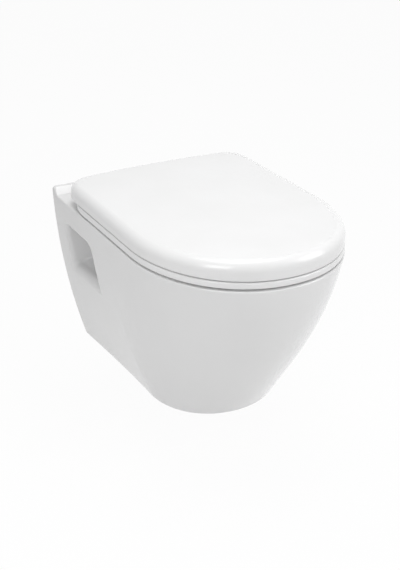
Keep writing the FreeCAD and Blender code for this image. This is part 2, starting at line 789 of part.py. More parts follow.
def main():
    os.makedirs("parts", exist_ok=True)
    place("pan", casting())
    place("seat_ring", seatRing())
    place("lid", lid())
    place("seat_buffers", pads(seatBufferSpots(), bufferRadius, restGap, seatGap + ringHollow - restGap))
    ringTop = seatGap + ringThickness
    padHeight = lidGap + lidBufferHeight - restGap
    place("lid_buffers", pads(lidBufferSpots(), lidBossRadius, ringTop + restGap, padHeight))
    seatBush = lugBush(hingePitch / 2 - barrelWidth / 2 - sideGap - lugWidth)
    lidBush = lugBush(hingePitch / 2 + barrelWidth / 2 + sideGap)
    place("seat_hinge_bushes", Part.makeCompound([seatBush, mirrored(seatBush)]))
    place("lid_hinge_bushes", Part.makeCompound([lidBush, mirrored(lidBush)]))
    for name, make in (("hinge_post", hingePost), ("hinge_pin", hingePin), ("hinge_gasket", hingeGasket),
                       ("hinge_stud", hingeStud), ("deck_bush", deckBush), ("wing_nut", wingNut),
                       ("wall_sleeve", wallSleeve), ("wall_washer", wallWasher),
                       ("wall_nut", wallNut), ("nut_cap", nutCap)):
        placePair(name, make())


main()
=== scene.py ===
import json
from math import atan2, copysign, cos, dist, pi, radians, sin, sqrt, tan
import bmesh
import bpy
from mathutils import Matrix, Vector


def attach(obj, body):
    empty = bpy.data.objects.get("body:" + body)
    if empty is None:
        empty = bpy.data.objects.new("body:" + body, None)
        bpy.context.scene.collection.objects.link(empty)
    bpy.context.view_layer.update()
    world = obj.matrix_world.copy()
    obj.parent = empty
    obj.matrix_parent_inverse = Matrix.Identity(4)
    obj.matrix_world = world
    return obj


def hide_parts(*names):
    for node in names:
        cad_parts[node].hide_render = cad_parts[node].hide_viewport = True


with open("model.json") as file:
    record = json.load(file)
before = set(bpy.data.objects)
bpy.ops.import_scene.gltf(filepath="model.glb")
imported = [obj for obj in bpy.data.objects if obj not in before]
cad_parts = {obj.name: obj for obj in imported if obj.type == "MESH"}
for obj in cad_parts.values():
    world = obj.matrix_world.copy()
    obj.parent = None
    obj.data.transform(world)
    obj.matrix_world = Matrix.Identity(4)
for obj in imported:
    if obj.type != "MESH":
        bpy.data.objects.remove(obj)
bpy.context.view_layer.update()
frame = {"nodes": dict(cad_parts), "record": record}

# Forms are worked out in millimetres with z = 0 on top of the rim, then put in place in metres.
rimAboveOrigin = 80.0
smoothAngle = radians(32)


def toMetres(point):
    x, y, z = point
    return (x / 1000, y / 1000, (z + rimAboveOrigin) / 1000)


def cubic(values, t):
    a, b, c, d = values
    s = 1 - t
    return a * s ** 3 + 3 * b * s * s * t + 3 * c * s * t * t + d * t ** 3


def mix(a, b, t):
    return a + (b - a) * t


def mixPoints(p, q, t):
    return tuple(mix(a, b, t) for a, b in zip(p, q))


def spread(start, end, count):
    return [mix(start, end, i / count) for i in range(count + 1)]


def bezier(points, t):
    return tuple(cubic(values, t) for values in zip(*points))


def quarter(start, corner, end, fullness, t):
    return bezier([start, mixPoints(start, corner, fullness), mixPoints(end, corner, fullness), end], t)


def roundOff(radius, steps, start=0.0, end=pi / 2):
    # along a rounded edge: the way come in from one face, and the way left to the other
    return [(radius * (1 - cos(a)), radius * (1 - sin(a))) for a in spread(start, end, steps)]


def around(count):
    return spread(0, 2 * pi, count)[:-1]


def between(first, last, steps):
    return [[mixPoints(p, q, t) for p, q in zip(first, last)] for t in spread(0, 1, steps)]


def arcEnds(before, here, after, radius):
    # where a rounded corner meets its two sides
    here = Vector(here)
    a, b = Vector(before) - here, Vector(after) - here
    reach = radius / tan(a.angle(b) / 2)
    return tuple(here + a.normalized() * reach), tuple(here + b.normalized() * reach)


def roundedPath(points, radii, steps=6, fullness=0.6):
    path = [points[0]]
    for before, here, after, radius in zip(points, points[1:], points[2:], radii):
        start, end = arcEnds(before, here, after, radius)
        path += [quarter(start, here, end, fullness, i / steps) for i in range(steps + 1)]
    return path + [points[-1]]


print("stage: tools ready")

# pan: outline of the body at any height

pan = {"rimWidth": 355.0, "rimLength": 531.95, "depth": 305.0, "footWidth": 254.0, "footNeck": 12.0,
       "footLength": 377.0, "drawHigh": 3.6, "drawLow": 20.0, "frontDrawLow": 84.0,
       "shoulders": (325.0, 229.0, 229.0, 262.0), "fullness": 0.575, "rimRound": 3.0,
       "footRound": 3.5, "backRound": 1.2}
upstand = {"height": 12.0, "top": 8.0, "slope": 12.0, "corner": 6.0, "nose": 4.0, "cove": 8.0}


def bodyAt(z):
    # half width at the wall, half width at the shoulder, reach and shoulder at a height
    t = min(1.0, max(0.0, -z / pan["depth"]))
    rim, length = pan["rimWidth"] / 2, pan["rimLength"]
    half = cubic((rim, rim - pan["drawHigh"], rim - pan["drawLow"], pan["footWidth"] / 2), t)
    reach = cubic((length, length, length - pan["frontDrawLow"], pan["footLength"]), t)
    neck = half - cubic((0, 0, pan["footNeck"] / 3, pan["footNeck"]), t)
    return half, neck, reach, cubic(pan["shoulders"], t)


def skinX(y, z):
    half, neck, reach, shoulder = bodyAt(z)
    return cubic((half, (half + neck) / 2, neck, neck), min(1.0, -y / shoulder))


pocketGrid = {"rear": -38.0, "front": -190.0, "columns": 24, "top": -26.0, "floor": -152.0, "rows": 21}
gridYs = spread(pocketGrid["rear"], pocketGrid["front"], pocketGrid["columns"])
gridZs = spread(pocketGrid["floor"], pocketGrid["top"], pocketGrid["rows"])
# columns behind and ahead of the pocket's grid, rows below and above it
sidePlan = {"deck": (-30.0, -34.0), "ahead": (-193.0, -200.0), "shoulder": 9, "front": 60, "levelDeck": 15}
levelPlan = {"low": -236.0, "overPocket": [-20.0, -14.0, -8.0]}
upstandLine = roundedPath([(0, upstand["height"]), (-upstand["top"], upstand["height"]),
                           (-upstand["top"] - upstand["slope"], 0), (sidePlan["deck"][-1], 0)],
                          [upstand["nose"], upstand["cove"]])[:-1]


def stations():
    # (kind, value, deck height, inset) for each column of the left half, from the wall to the tip
    rows = [("side", -ahead, upstand["height"], inward) for ahead, inward in roundOff(pan["backRound"], 4)]
    rows += [("side", y, h, 0.0) for y, h in upstandLine[1:]]
    rows += [("side", y, 0.0, 0.0) for y in (*sidePlan["deck"], *gridYs, *sidePlan["ahead"])]
    for kind in ("shoulder", "front"):
        rows += [(kind, t, 0.0, 0.0) for t in spread(0, 1, sidePlan[kind])[1:]]
    return rows


columns = stations()
pocketFirst = next(i for i, c in enumerate(columns) if c[1] == pocketGrid["rear"])
deckSplit = pocketFirst + sidePlan["levelDeck"]   # the deck runs straight across up to this column


def skinPoint(column, z, inset):
    kind, value, height, edge = column
    inset += edge
    half, neck, reach, shoulder = bodyAt(z)
    if kind == "front":
        x, y = quarter((neck - inset, -shoulder), (neck - inset, inset - reach), (0.0, inset - reach),
                       pan["fullness"], value)
        return (-x, y, z)
    y = value if kind == "side" else mix(sidePlan["ahead"][-1], -shoulder, value)
    return (-(skinX(y, z) - inset), y, z)


def sideRows():
    low, middle = -pan["depth"] + pan["footRound"], levelPlan["low"]
    rows = spread(low, middle, 6)[:-1] + spread(middle, pocketGrid["floor"], 14)[:-1]
    return rows + gridZs + levelPlan["overPocket"] + [-pan["rimRound"]]


levels = sideRows()
roundSteps = 7
pocketLow = roundSteps + levels.index(pocketGrid["floor"])


def columnPoints(column):
    # from the underside, round the foot, up the side and over the rim
    height, edge = column[2:]
    foot = -pan["depth"] + edge
    points = [skinPoint(column, foot + up, inward)
              for up, inward in roundOff(pan["footRound"], roundSteps)[:-1]]
    points += [skinPoint(column, z, 0.0) for z in levels]
    corner = mix(pan["rimRound"], upstand["corner"], height / upstand["height"])
    points += [skinPoint(column, z, 0.0) for z in spread(levels[-1], height - corner, 3)[1:]]
    return points + [skinPoint(column, height - edge - down, inward)
                     for inward, down in roundOff(corner, roundSteps)[1:]]


def mirrorPoint(p):
    return (-p[0], p[1], p[2])


# mesh building: grids of points are welded into one closed mesh

weldReach = 4e-6
thinEdge = 2e-6


class Surface:
    def __init__(self):
        self.points, self.faces = [], []

    def grid(self, rows, skip=None):
        start, wide = len(self.points), len(rows[0])
        for row in rows:
            self.points += row
        for r in range(len(rows) - 1):
            for c in range(wide - 1):
                if skip and skip(r, c):
                    continue
                a = start + r * wide + c
                self.faces.append([a, a + 1, a + 1 + wide, a + wide])

    def loops(self, rings):
        self.grid([list(ring) + [ring[0]] for ring in rings])

    def polygon(self, points, flip=False):
        start = len(self.points)
        self.points += points
        face = list(range(start, start + len(points)))
        self.faces.append(face[::-1] if flip else face)

    def fan(self, ring, centre):
        start = len(self.points)
        self.points += list(ring) + [centre]
        last = start + len(ring)
        self.faces += [[start + i, start + (i + 1) % len(ring), last] for i in range(len(ring))]

    def piece(self, name):
        made = bpy.data.meshes.new(name)
        made.from_pydata([toMetres(p) for p in self.points], [], self.faces)
        work = bmesh.new()
        work.from_mesh(made)
        bmesh.ops.remove_doubles(work, verts=work.verts, dist=weldReach)
        bmesh.ops.dissolve_degenerate(work, edges=work.edges, dist=thinEdge)
        bmesh.ops.recalc_face_normals(work, faces=work.faces)
        if work.calc_volume(signed=True) < 0:
            bmesh.ops.reverse_faces(work, faces=work.faces)
        openEdges = sum(1 for e in work.edges if len(e.link_faces) != 2)
        if openEdges:
            print("open edges in", name, openEdges)
        work.to_mesh(made)
        work.free()
        return addObject(name, made)


def addObject(name, data):
    obj = bpy.data.objects.new(name, data)
    bpy.context.scene.collection.objects.link(obj)
    return obj


def bake(obj):
    # the evaluated mesh takes the modifiers' place
    graph = bpy.context.evaluated_depsgraph_get()
    graph.update()
    mesh = bpy.data.meshes.new_from_object(obj.evaluated_get(graph), preserve_all_data_layers=True,
                                           depsgraph=graph)
    old, name = obj.data, obj.data.name
    obj.modifiers.clear()
    obj.data = mesh
    bpy.data.meshes.remove(old)
    mesh.name = name


def combine(obj, tools, operation="DIFFERENCE"):
    for tool in tools:
        cut = obj.modifiers.new("join", "BOOLEAN")
        cut.operation, cut.solver, cut.object = operation, "MANIFOLD", tool
        bake(obj)
    for tool in set(tools):
        mesh = tool.data
        bpy.data.objects.remove(tool)
        bpy.data.meshes.remove(mesh)


def finishShading(obj):
    obj.data.shade_smooth()
    obj.data.set_sharp_from_angle(angle=smoothAngle)


def stack(name, rings):
    # a closed form from rings that lie on top of each other
    made = Surface()
    made.loops(rings)
    made.polygon(rings[0])
    made.polygon(rings[-1], True)
    return made.piece(name)


def hoop(name, rings):
    made = Surface()
    made.loops(rings + rings[:1])
    return made.piece(name)


def circle(centre, side, up, radius, count):
    return [tuple(centre + (side * cos(a) + up * sin(a)) * radius) for a in around(count)]


def cylinder(name, radius, start, end, count=64):
    start, end = Vector(start), Vector(end)
    way = end - start
    side = way.orthogonal().normalized()
    up = way.normalized().cross(side)
    return stack(name, [circle(base, side, up, radius, count) for base in (start, end)])


def block(name, low, high):
    x0, y0, z0 = low
    x1, y1, z1 = high
    return stack(name, [[(x0, y0, z), (x1, y0, z), (x1, y1, z), (x0, y1, z)] for z in (z0, z1)])


# pan: mouth, hollow rim and bowl

bowl = {"mouth": (131.0, 152.0, 330.0, 487.0),   # half width, rear, widest place and front
        "below": (134.0, 152.0, 310.0, 482.0), "throat": (84.0, 192.0, 235.0, 330.0),
        "sump": (35.0, 192.0, 224.0, 256.0), "edge": 4.0, "lip": 8.0, "lipDepth": 42.0, "channel": 17.0,
        "channelFloor": 48.0, "channelRound": 5.0, "roof": 12.0, "depth": 285.0, "dish": 3.0, "wall": 9.0,
        "castTop": -3.0, "rows": 40}
ovalSamples, ovalEnd = 2000, 3.999999   # a place on an oval runs from 0 to 4, a side for each quarter


def grown(size, by):
    half, rear, widest, front = size
    return (half + by, rear - by, widest, front + by)


def ovalPoint(place, size, z):
    half, rear, widest, front = size
    side, t = int(place) % 4, place - int(place)
    left, right, tip, heel = (-half, -widest), (half, -widest), (0.0, -front), (0.0, -rear)
    corners = ((left, (-half, -front), tip), (tip, (half, -front), right),
               (right, (half, -rear), heel), (heel, (-half, -rear), left))
    return (*quarter(*corners[side], pan["fullness"], t), z)


def placesFor(ring, size):
    # where on an oval each point of an outer ring looks, seen from the middle
    samples = []
    for i in range(ovalSamples + 1):
        place = i * 4 / ovalSamples if i < ovalSamples else ovalEnd
        x, y, _ = ovalPoint(place, size, 0)
        samples.append((atan2(x, y + size[2]), place))
    samples.sort()
    places = []
    for x, y, _ in ring:
        angle = atan2(x, y + size[2])
        index = min(range(len(samples)), key=lambda i: abs(samples[i][0] - angle))
        low = max(0, min(len(samples) - 2, index - (samples[index][0] > angle)))
        (a0, p0), (a1, p1) = samples[low], samples[low + 1]
        share = (angle - a0) / (a1 - a0) if a1 > a0 else 0.0
        places.append(mix(p0, p1, min(1.0, max(0.0, share))) if abs(p1 - p0) < 1 else p0)
    return places


def ovalRing(places, size, z, grow=0.0):
    return [ovalPoint(p, grown(size, grow), z) for p in places]


def bowlRing(places, t, grow=0.0):
    top = grown(bowl["mouth"], bowl["lip"] + bowl["channel"])
    size = bezier([top, bowl["below"], bowl["throat"], bowl["sump"]], t)
    return ovalRing(places, size, -mix(bowl["channelFloor"], bowl["depth"] + grow, t), grow)


def bowlRings(places):
    edge, lip, low, roof = bowl["edge"], bowl["lip"], -bowl["lipDepth"], -bowl["roof"]
    out, r = lip + bowl["channel"], lip / 2
    steps = [(outward, -down) for down, outward in roundOff(edge, 6)]
    steps += [(0.0, z) for z in spread(-edge, low + r, 8)[1:]]
    steps += [(outward, low + up) for outward, up in roundOff(r, 8, end=pi)[1:]]
    channel = [(lip, low + r), (lip, roof), (out, roof), (out, -bowl["channelFloor"])]
    steps += roundedPath(channel, [bowl["channelRound"]] * 2, 4)[1:]
    rings = [ovalRing(places, bowl["mouth"], z, grow) for grow, z in steps]
    return rings + [bowlRing(places, t) for t in spread(0, 1, bowl["rows"])[1:]]


# pan: the pockets at the sides

plainRound = 0.56
pocket = {"knee": 116.0, "blind": 62.0, "past": 181.5,
          "kneeLine": ((-58.0, -20.0), (-136.0, -20.0), (-144.0, -110.0), (-58.0, -112.0)),
          "mouthLine": ((-50.0, -45.0), (-165.0, -45.0), (-183.0, -124.0), (-49.0, -129.0)),
          "blindLine": ((-58.0, -20.0), (-114.0, -20.0), (-118.0, -106.0), (-58.0, -106.0)),
          "edges": (2.5, 2.5, 19.0, 8.0),       # top, front, floor, rear
          "corners": (5.0, 15.0, 4.0, 6.0),     # top rear, top front, floor front, floor rear
          "roundness": (plainRound, 0.3, plainRound, plainRound), "flare": 3.0, "inner": 5.0, "wall": 9.0}


def pocketLine(x):
    t = (x - pocket["knee"]) / (pocket["past"] - pocket["knee"])
    return [mixPoints(a, b, t) for a, b in zip(pocket["kneeLine"], pocket["mouthLine"])]


def roundedFour(corners, radii, counts, roundness=(plainRound,) * 4, turn=4):
    # a loop of four sides; each side runs from the middle of one corner's arc to the next
    arcs, loop = [], []
    for i, here in enumerate(corners):
        start, end = arcEnds(corners[i - 1], here, corners[(i + 1) % 4], radii[i])
        arcs.append((start, tuple(Vector(here)), end))
    for i, count in enumerate(counts):
        first, last, straight = arcs[i], arcs[(i + 1) % 4], count - 2 * turn
        loop += [quarter(*first, roundness[i], 0.5 + 0.5 * k / turn) for k in range(turn)]
        loop += [mixPoints(first[2], last[0], k / straight) for k in range(straight)]
        loop += [quarter(*last, roundness[(i + 1) % 4], 0.5 * k / turn) for k in range(turn)]
    return loop


def pocketPatch(made, side):
    ys, zs = gridYs, gridZs
    frameLoop = [(y, zs[-1]) for y in ys[:-1]] + [(ys[-1], z) for z in zs[:0:-1]]
    frameLoop += [(y, zs[0]) for y in ys[:0:-1]] + [(ys[0], z) for z in zs[:-1]]
    counts = (pocketGrid["columns"], pocketGrid["rows"]) * 2
    top, front, floor, rear = pocket["edges"]
    lines = [pocketLine(skinX(y, z)) for y, z in pocket["mouthLine"]]
    wallLine = [lines[i][i] for i in range(4)]
    shift = ((rear, top), (-front, top), (-front, -floor), (rear, -floor))
    skinLine = [(y + dy, z + dz) for (y, z), (dy, dz) in zip(wallLine, shift)]
    inner = roundedFour(wallLine, pocket["corners"], counts, pocket["roundness"])
    flared = [r + pocket["flare"] for r in pocket["corners"]]
    outer = roundedFour(skinLine, flared, counts, pocket["roundness"])
    rings = [[(side * skinX(y, z), y, z) for y, z in loop] for loop in between(frameLoop, outer, 7)]
    for a in spread(0, pi / 2, 8)[1:]:
        ring = []
        for p, q in zip(outer, inner):
            y, z = mixPoints(p, q, sin(a))
            ring.append((side * (skinX(y, z) - dist(p, q) * (1 - cos(a))), y, z))
        rings.append(ring)
    r, last = pocket["inner"], rings[-1]
    for x, name in ((pocket["knee"], "kneeLine"), (pocket["blind"] + r, "blindLine")):
        line = roundedFour(pocket[name], [r] * 4, counts)
        ring = [(side * x, y, z) for y, z in line]
        rings += between(last, ring, 7)[1:]
        last = ring
    middle = tuple(sum(p[i] for p in line) / len(line) for i in (0, 1))
    for inward, out in roundOff(r, 5)[1:]:
        x = side * (pocket["blind"] + out)
        rings.append([(x, *mixPoints(p, middle, inward / dist(p, middle))) for p in line])
    made.loops(rings)
    made.fan(rings[-1], (side * pocket["blind"], *middle))


def panOutside():
    made = Surface()
    left = [columnPoints(c) for c in columns]
    right = [[mirrorPoint(p) for p in points] for points in left]
    both = left + right[-2::-1]
    last = len(both) - 1

    def pocketHole(r, c):
        r = min(r, last - 1 - r)
        columnIn = pocketFirst <= r < pocketFirst + pocketGrid["columns"]
        return columnIn and pocketLow <= c < pocketLow + pocketGrid["rows"]
    made.grid(both, skip=pocketHole)
    pocketPatch(made, -1)
    pocketPatch(made, 1)
    across = spread(0, 1, 26)
    tops = [[mixPoints(a[-1], b[-1], t) for t in across] for a, b in zip(left, right)]
    made.grid(tops[:deckSplit + 1])
    outer = [points[-1] for points in left[deckSplit:] + right[-2:deckSplit - 1:-1]]
    outer += tops[deckSplit][-2:0:-1]
    places = placesFor(outer, grown(bowl["mouth"], bowl["edge"]))
    inside = bowlRings(places)
    x0, y0, bottom = 0.0, -bowl["sump"][2], -bowl["depth"]
    dish = []
    for t in spread(0, 1, 8)[1:-1]:
        z = bottom - bowl["dish"] * (1 - (1 - t) ** 2)
        dish.append([(mix(x, x0, t), mix(y, y0, t), z) for x, y, _ in inside[-1]])
    made.loops(between(outer, inside[0], 5) + inside[1:] + dish)
    made.fan(dish[-1], (x0, y0, bottom - bowl["dish"]))
    made.polygon([points[0] for points in both])
    made.polygon(left[0] + tops[0][1:-1] + right[0][::-1])
    return made.piece("ceramicPan"), places


# pan: the open back with its hollow, horns, bosses and trap

back = {"skin": 12.0, "hollowRound": 14.0, "over": 3.0, "studX": 90.0, "studZ": -80.0, "boss": 22.0,
        "bossEnd": -58.0, "sleeve": 8.7, "studHoleEnd": -62.0, "recess": 4.0, "wasteZ": -180.0,
        "wasteOuter": 51.0, "wasteFree": 45.0, "wasteShoulder": 2.0, "wasteWall": 9.0, "wasteLength": 68.0,
        "flushZ": -45.0, "flushBore": 27.5, "flushDepth": 50.0, "flushWay": 21.0, "flushWall": 9.0,
        "hingeX": 77.5, "hingeY": -76.0, "hingeHole": 7.5, "hingeEnd": -24.0, "trap": 28.0,
        "trapWall": 12.0, "bend": 45.0, "overrun": 20.0,
        "trapLine": ((0, -215, -253), (0, -150, -253), (0, -100, -136), (0, -40, -172))}


def hollowForm():
    inset, r = back["skin"], back["hollowRound"]
    low, top = -pan["depth"] + inset, -inset
    heights = [(low + up, inset + inward) for up, inward in roundOff(r, 5)]
    heights += [(z, inset) for z in spread(low + r, top - r / 2, 20)[1:]]
    heights += [(top - down, inset + inward) for inward, down in roundOff(r / 2, 4)[1:]]
    side = [("side", y, 0, 0) for y in (back["over"], *spread(0, sidePlan["ahead"][-1], 16))]
    side += [c for c in columns if c[0] == "shoulder"] + [c for c in columns if c[0] == "front"][1::2]
    rows = []
    for z, step in heights:
        half = [skinPoint(c, z, step) for c in side]
        rows.append(half + [mirrorPoint(p) for p in half[-2::-1]])
    return stack("hollow", rows)


def bentLine(points, radius, steps=14):
    path = [points[0]]
    for before, here, after in zip(points, points[1:], points[2:]):
        a, b = (before - here).normalized(), (after - here).normalized()
        half = a.angle(b) / 2
        centre = here + (a + b).normalized() * radius / sin(half)
        start, end = here + a * radius / tan(half), here + b * radius / tan(half)
        u, v = start - centre, end - centre
        turn = u.angle(v)
        for k in range(steps + 1):
            shareU, shareV = sin(turn * (1 - k / steps)), sin(turn * k / steps)
            path.append(centre + (u * shareU + v * shareV) / sin(turn))
    return path + [points[-1]]


def pipe(name, path, radius, count=48):
    rings = []
    for i, here in enumerate(path):
        way = (path[min(i + 1, len(path) - 1)] - path[max(i - 1, 0)]).normalized()
        side = Vector((1, 0, 0))
        rings.append(circle(here, side, way.cross(side), radius, count))
    return stack(name, rings)


def pocketCast(side):
    grow = pocket["wall"]
    shift = ((grow, grow), (-grow, grow), (-grow, -grow), (grow, -grow))
    rings = []
    for x, line in ((pocket["blind"] - grow, pocket["blindLine"]), (pocket["knee"], pocket["kneeLine"]),
                    (pocket["past"], pocket["mouthLine"])):
        rings.append([(side * x, y + dy, z + dz) for (y, z), (dy, dz) in zip(line, shift)])
    return stack("pocketCast", rings)


def openBack(obj, places):
    hollow = hollowForm()
    cast = [bowlRing(places, t, bowl["wall"]) for t in spread(0, 1, 20)]
    roof = [(x, y, bowl["castTop"]) for x, y, _ in cast[0]]
    casts = [stack("bowlCast", [roof] + cast), pocketCast(-1), pocketCast(1)]
    line = [Vector(point) for point in back["trapLine"]]
    for a, b in zip(line, line[1:]):
        end = b + (b - a).normalized() * (0 if b is line[-1] else back["overrun"])
        casts.append(cylinder("trapCast", back["trap"] + back["trapWall"], a, end))
    recess, waste, flush, over = -back["recess"], back["wasteZ"], back["flushZ"], back["over"]
    rear = -bowl["mouth"][1]
    for radius, z, end in (
            (back["wasteOuter"], waste, recess - back["wasteFree"]),
            (back["wasteOuter"] - back["wasteShoulder"], waste,
             recess - back["wasteLength"] - back["wasteWall"]),
            (back["flushBore"] + back["flushWall"], flush, rear)):
        casts.append(cylinder("horn", radius, (0, recess, z), (0, end, z)))
    studZ = back["studZ"]
    for x in (-back["studX"], back["studX"]):
        casts.append(cylinder("boss", back["boss"], (x, 0, studZ), (x, back["bossEnd"], studZ)))
    combine(hollow, casts)
    combine(obj, [hollow])
    tools = [pipe("trapway", bentLine(line, back["bend"]), back["trap"])]
    for radius, z, end in ((back["wasteOuter"] - back["wasteWall"], waste, recess - back["wasteLength"]),
                           (back["flushBore"], flush, recess - back["flushDepth"]),
                           (back["flushWay"], flush, rear + bowl["lip"] + over)):
        tools.append(cylinder("bore", radius, (0, over, z), (0, end, z)))
    for side in (-1, 1):
        x, y = side * back["studX"], back["studHoleEnd"]
        tools.append(cylinder("studHole", back["sleeve"], (x, over, studZ), (x, y, studZ)))
        x, y = side * back["hingeX"], back["hingeY"]
        tools.append(cylinder("hingeHole", back["hingeHole"], (x, y, over), (x, y, back["hingeEnd"])))
    combine(obj, tools)


panPiece, panPlaces = panOutside()
openBack(panPiece, panPlaces)
finishShading(panPiece)
print("stage: pan", len(panPiece.data.polygons))

# seat ring and lid

seat = {"inset": 1.0, "overlap": 0.0, "gap": 4.0, "thick": 9.8, "rear": 75.0, "corner": (26.0, 62.0),
        "leastCorner": 1.5, "roundness": 0.552, "hole": (112.0, 196.0, 335.0, 466.0), "edge": 2.5,
        "holeEdge": 4.0, "underEdge": 0.6, "hollow": 3.3, "land": 6.0, "notch": 16.0, "notchHalf": 14.5,
        "lugWidth": 9.6, "barrel": 15.0, "sideGap": 0.4, "eye": 6.0, "bush": 4.45, "barRoot": 8.0,
        "barLow": 5.0, "clear": 1.0, "beyond": (200.0, 540.0, 30.0), "pads": ((148.0, 230.0), (75.0, 483.0))}
axis = {"y": -62.0, "z": 34.0}
lidForm = {"rear": 53.0, "corner": (42.0, 42.0), "bottom": 15.8, "height": 46.5, "crown": 4.5, "edge": 14.0,
           "wall": 4.5, "overlap": -0.6, "lip": 1.0, "bevel": 9.0, "relief": 0.6, "lugRoot": 26.0,
           "centre": 290.0, "windowSides": (1.0, 2.0), "windowRoom": 2.0, "barSink": 1.0, "barStep": 2.0,
           "barHeel": 4.0, "bossRadius": 5.0, "bossSink": 1.4, "padHeight": 2.3,
           "pads": ((143.0, 300.0), (85.0, 478.0))}
outlineSteps = {"rear": 26, "corner": 12, "side": 26, "front": 60}


def seatOutline(form, z, inset):
    extra = form["overlap"]
    half = pan["rimWidth"] / 2 - seat["inset"] - inset + extra
    front = pan["rimLength"] - seat["inset"] - inset + extra
    behind = form["rear"] + inset - extra
    across, along = [max(seat["leastCorner"], c - inset) for c in form["corner"]]
    turn, shoulder = -behind - along, -pan["shoulders"][0]
    left = [quarter((across - half, -behind), (-half, -behind), (-half, turn), seat["roundness"], t)
            for t in spread(0, 1, outlineSteps["corner"])[:-1]]
    left += [(-half, y) for y in spread(turn, shoulder, outlineSteps["side"])[:-1]]
    left += [quarter((-half, shoulder), (-half, -front), (0.0, -front), pan["fullness"], t)
             for t in spread(0, 1, outlineSteps["front"])]
    right = [(-x, y) for x, y in left[-2::-1]]
    rearLine = [(x, -behind) for x in spread(half - across, across - half, outlineSteps["rear"])[1:-1]]
    return [(x, y, z) for x, y in left + right + rearLine]


def eyes(piece, outline, x0, side):
    # a bar with its round eye is joined on, then the eye is bored for its bush
    low, high = sorted((side * x0, side * (x0 + seat["lugWidth"])))
    y, z, clear = axis["y"], axis["z"], seat["clear"]
    bar = stack("bar", [[(x, *point) for point in outline] for x in (low, high)])
    combine(bar, [cylinder("eye", seat["eye"], (low, y, z), (high, y, z))], "UNION")
    combine(bar, [cylinder("bore", seat["bush"], (low - clear, y, z), (high + clear, y, z))])
    combine(piece, [bar], "UNION")


def makeRing():
    bottom, top = seat["gap"], seat["gap"] + seat["thick"]
    e, h, u, land, clear = [seat[key] for key in ("edge", "holeEdge", "underEdge", "land", "clear")]

    def outline(z, inset):
        return seatOutline(seat, z, inset)
    places = placesFor(outline(0, 0), seat["hole"])

    def hole(z, grow):
        return ovalRing(places, seat["hole"], z, grow)
    under = roundOff(u, 3, pi / 2, 0)
    rings = [outline(bottom + up, inward) for inward, up in under]
    rings += [outline(z, 0) for z in spread(bottom + u, top - e, 3)[1:]]
    rings += [outline(top - down, inward) for inward, down in roundOff(e, 5)[1:]]
    rings += between(rings[-1], hole(top, h), 10)[1:-1]
    rings += [hole(top - down, outward) for down, outward in roundOff(h, 6)]
    rings += [hole(bottom + up, outward) for up, outward in under]
    ring = hoop("seatRing", rings)
    low, high = bottom - clear, bottom + seat["hollow"]
    recess = hoop("recess", [outline(low, land), outline(high - clear, land), outline(high, land + clear),
                             hole(high, land + clear), hole(high - clear, land), hole(low, land)])
    x, y, z = seat["beyond"]
    front = block("front", (-x, -y, -clear), (x, -seat["hole"][1] - land, z))
    combine(recess, [front], "INTERSECT")
    combine(ring, [recess])
    middle, reach = back["hingeX"], seat["notchHalf"]
    x0 = middle - seat["barrel"] / 2 - seat["sideGap"] - seat["lugWidth"]
    lean = seat["eye"] * sqrt(0.5)
    root, foot, step = seat["rear"] + seat["notch"], seat["barLow"], seat["barRoot"]
    bar = [(axis["y"] - lean, axis["z"] + lean), (-root - step, top - clear), (-root - step, foot),
           (-root + step, foot), (axis["y"] + lean, axis["z"] - lean)]
    for side in (-1, 1):
        low, high = (side * middle - reach, -root, -clear), (side * middle + reach, 0, top + 2 * clear)
        combine(ring, [block("notch", low, high)])
        eyes(ring, bar, x0, side)
    return ring


def crownAt(x):
    half = pan["rimWidth"] / 2
    return lidForm["crown"] * (1 - min(1.0, abs(x) / half) ** 2)


